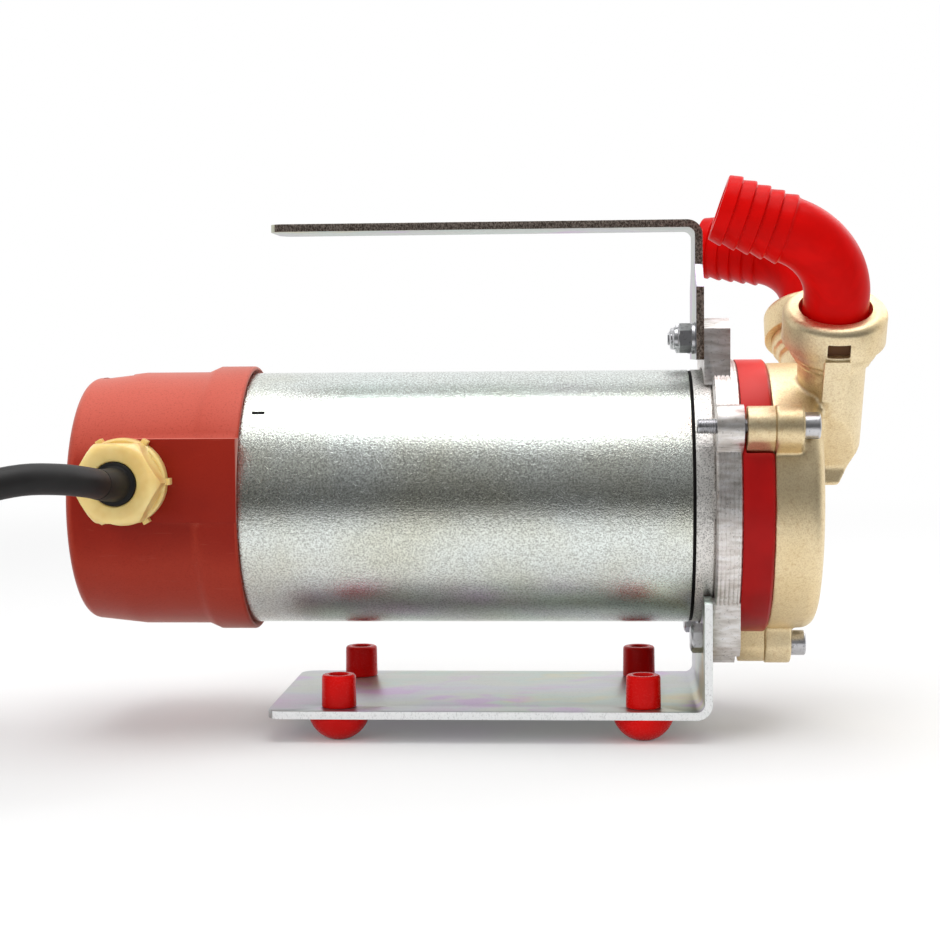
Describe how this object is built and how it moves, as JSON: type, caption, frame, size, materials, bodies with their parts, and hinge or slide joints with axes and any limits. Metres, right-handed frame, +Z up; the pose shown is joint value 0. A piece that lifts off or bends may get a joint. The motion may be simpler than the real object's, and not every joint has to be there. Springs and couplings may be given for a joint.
{
  "type": "electric transfer pump",
  "caption": "Portable electric transfer pump: tubular motor on a footed bracket with a carry handle, a brass side-channel head and two swivel hose elbows.",
  "frame": {"origin": "on the floor, midway between the four feet and under the motor axis", "axes": "+X along the motor axis towards the pump head, +Z up, -Y the side where the cable leaves"},
  "size_m": [0.5543, 0.2326, 0.2117],
  "materials": {
    "zinc_sheet": "zinc plated sheet with a faint pink and yellow passivation",
    "foot_rubber": "glossy red rubber",
    "bright_steel": "bright zinc plated fasteners and ground shaft",
    "zinc_tube": "bright zinc plated drawn tube",
    "red_rubber": "dark red gasket",
    "cast_aluminium": "die cast, bead blasted",
    "machined_aluminium": "machined with fine turning marks",
    "core_steel": "stacked electrical sheet",
    "copper_wire": "enamelled copper winding",
    "bearing_steel": "ground bearing rings",
    "cover_plastic": "terracotta red moulded plastic",
    "black_plastic": "black moulded plastic",
    "grey_plastic": "dark grey moulded plastic",
    "pale_plastic": "pale terminal plastic",
    "ring_plastic": "glossy red plastic",
    "sandblasted_brass": "pale sandblasted brass casting",
    "turned_brass": "turned brass",
    "black_rubber": "black rubber",
    "red_nylon": "glossy red nylon",
    "gland_nylon": "translucent cream nylon",
    "cable_rubber": "black sheathed cable with a slight gloss",
    "plated_pins": "nickel plated pins"
  },
  "bodies": {
    "housing": {"base_bracket": "zinc_sheet", "foot_near_rear": "foot_rubber", "foot_near_front": "foot_rubber", "foot_far_rear": "foot_rubber", "foot_far_front": "foot_rubber", "base_bolts": "bright_steel", "handle_bracket": "zinc_sheet", "handle_studs": "bright_steel", "handle_nuts": "bright_steel", "motor_tube": "zinc_tube", "tube_gasket": "red_rubber", "front_shield": "cast_aluminium", "rear_shield": "cast_aluminium", "tie_rods": "bright_steel", "stator_core": "core_steel", "windings": "copper_wire", "front_bearing": "bearing_steel", "rear_bearing": "bearing_steel", "wave_washer": "bright_steel", "rear_cover": "cover_plastic", "cover_screws": "bright_steel", "capacitor": "black_plastic", "terminal_block": "pale_plastic", "switch_body": "grey_plastic", "adapter_flange": "machined_aluminium", "spacer_ring": "ring_plastic", "pump_body": "sandblasted_brass", "pump_cover": "sandblasted_brass", "pump_bolts": "bright_steel", "casing_seal": "black_rubber", "shaft_seal": "black_rubber", "near_port_gasket": "black_rubber", "far_port_gasket": "black_rubber", "gland_body": "gland_nylon", "gland_nut": "gland_nylon", "gland_seal": "black_rubber", "gland_locknut": "gland_nylon", "cable_lead": "cable_rubber", "cable_coil": "cable_rubber", "cable_tail": "cable_rubber", "coil_tie": "black_plastic", "plug_body": "black_rubber", "plug_pins": "plated_pins"},
    "rotor": {"rotor_core": "core_steel", "rotor_cage": "cast_aluminium", "rotor_shaft": "bright_steel", "impeller": "turned_brass", "impeller_key": "bright_steel"},
    "near_nut": {"near_union_nut": "sandblasted_brass"},
    "far_nut": {"far_union_nut": "sandblasted_brass"},
    "near_elbow": {"near_elbow": "red_nylon"},
    "far_elbow": {"far_elbow": "red_nylon"},
    "rocker": {"switch_rocker": "black_plastic"}
  },
  "joints": [
    {"name": "rotor_spin", "type": "hinge", "parent": "housing", "child": "rotor", "pos_m": [0, 0, 0.0907], "axis": [1, 0, 0], "continuous": true},
    {"name": "near_elbow_swivel", "type": "hinge", "parent": "housing", "child": "near_elbow", "pos_m": [0.13025, 0, 0.0907], "axis": [0, -0.5, 0.866], "continuous": true},
    {"name": "far_elbow_swivel", "type": "hinge", "parent": "housing", "child": "far_elbow", "pos_m": [0.13025, 0, 0.0907], "axis": [0, 0.5, 0.866], "continuous": true},
    {"name": "near_nut_turn", "type": "hinge", "parent": "housing", "child": "near_nut", "pos_m": [0.13025, 0, 0.0907], "axis": [0, -0.5, 0.866], "continuous": true},
    {"name": "far_nut_turn", "type": "hinge", "parent": "housing", "child": "far_nut", "pos_m": [0.13025, 0, 0.0907], "axis": [0, 0.5, 0.866], "continuous": true},
    {"name": "switch_rock", "type": "hinge", "parent": "housing", "child": "rocker", "pos_m": [-0.15395, 0, 0.0907], "axis": [0, 1, 0], "range_deg": [-10, 10]}
  ]
}
